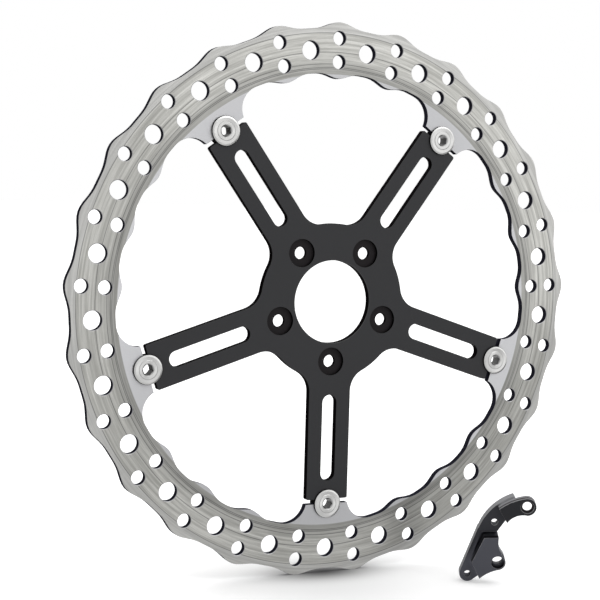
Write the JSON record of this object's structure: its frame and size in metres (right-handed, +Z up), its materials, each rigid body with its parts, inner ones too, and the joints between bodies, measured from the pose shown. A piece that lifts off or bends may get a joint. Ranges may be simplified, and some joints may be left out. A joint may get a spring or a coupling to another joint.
{
  "type": "floating motorcycle brake disc with caliper bracket",
  "caption": "Wave-edged floating brake disc with a five-arm carrier, spring-loaded drive bobbins and a loose caliper bracket.",
  "frame": {"origin": "centre of the hub bore, at the middle of the disc's thickness", "axes": "+Y along the disc's axis, from the outboard face to the wheel; +Z up, opposite the arm that points straight down"},
  "size_m": [0.3802, 0.097, 0.3796],
  "materials": {
    "ground_stainless": "ground band, blasted tabs",
    "black_anodised": "satin black anodised",
    "bobbin_silver": "clear anodised, turned",
    "spring_steel": "blued spring steel",
    "black_washer": "black oxide",
    "black_clip": "black phosphate",
    "black_anodised_bracket": "satin black anodised"
  },
  "bodies": {
    "carrier": {"carrier": "black_anodised"},
    "friction_ring": {"rotor_ring": "ground_stainless"},
    "bobbin_1": {"bobbin_1": "bobbin_silver", "wave_spring_1": "spring_steel", "flat_washer_1": "black_washer", "retaining_ring_1": "black_clip"},
    "bobbin_2": {"bobbin_2": "bobbin_silver", "wave_spring_2": "spring_steel", "flat_washer_2": "black_washer", "retaining_ring_2": "black_clip"},
    "bobbin_3": {"bobbin_3": "bobbin_silver", "wave_spring_3": "spring_steel", "flat_washer_3": "black_washer", "retaining_ring_3": "black_clip"},
    "bobbin_4": {"bobbin_4": "bobbin_silver", "wave_spring_4": "spring_steel", "flat_washer_4": "black_washer", "retaining_ring_4": "black_clip"},
    "bobbin_5": {"bobbin_5": "bobbin_silver", "wave_spring_5": "spring_steel", "flat_washer_5": "black_washer", "retaining_ring_5": "black_clip"},
    "bracket": {"caliper_bracket": "black_anodised_bracket"}
  },
  "joints": [
    {"name": "ring_float", "type": "slide", "parent": "carrier", "child": "friction_ring", "axis": [0, 1, 0], "range_m": [-0.0002, 0.0002], "stiffness_N_per_m": 40000, "deforming": ["wave_spring_1", "wave_spring_2", "wave_spring_3", "wave_spring_4", "wave_spring_5"]},
    {"name": "bobbin_1_turn", "type": "hinge", "parent": "carrier", "child": "bobbin_1", "pos_m": [0, 0, -0.1405], "axis": [0, 1, 0], "continuous": true},
    {"name": "bobbin_2_turn", "type": "hinge", "parent": "carrier", "child": "bobbin_2", "pos_m": [0.13362, 0, -0.04342], "axis": [0, 1, 0], "continuous": true},
    {"name": "bobbin_3_turn", "type": "hinge", "parent": "carrier", "child": "bobbin_3", "pos_m": [0.08258, 0, 0.11367], "axis": [0, 1, 0], "continuous": true},
    {"name": "bobbin_4_turn", "type": "hinge", "parent": "carrier", "child": "bobbin_4", "pos_m": [-0.08258, 0, 0.11367], "axis": [0, 1, 0], "continuous": true},
    {"name": "bobbin_5_turn", "type": "hinge", "parent": "carrier", "child": "bobbin_5", "pos_m": [-0.13362, 0, -0.04342], "axis": [0, 1, 0], "continuous": true},
    {"name": "bracket_set_apart", "type": "slide", "parent": "carrier", "child": "bracket", "axis": [1, 0, 0], "range_m": [0, 0.12]}
  ]
}
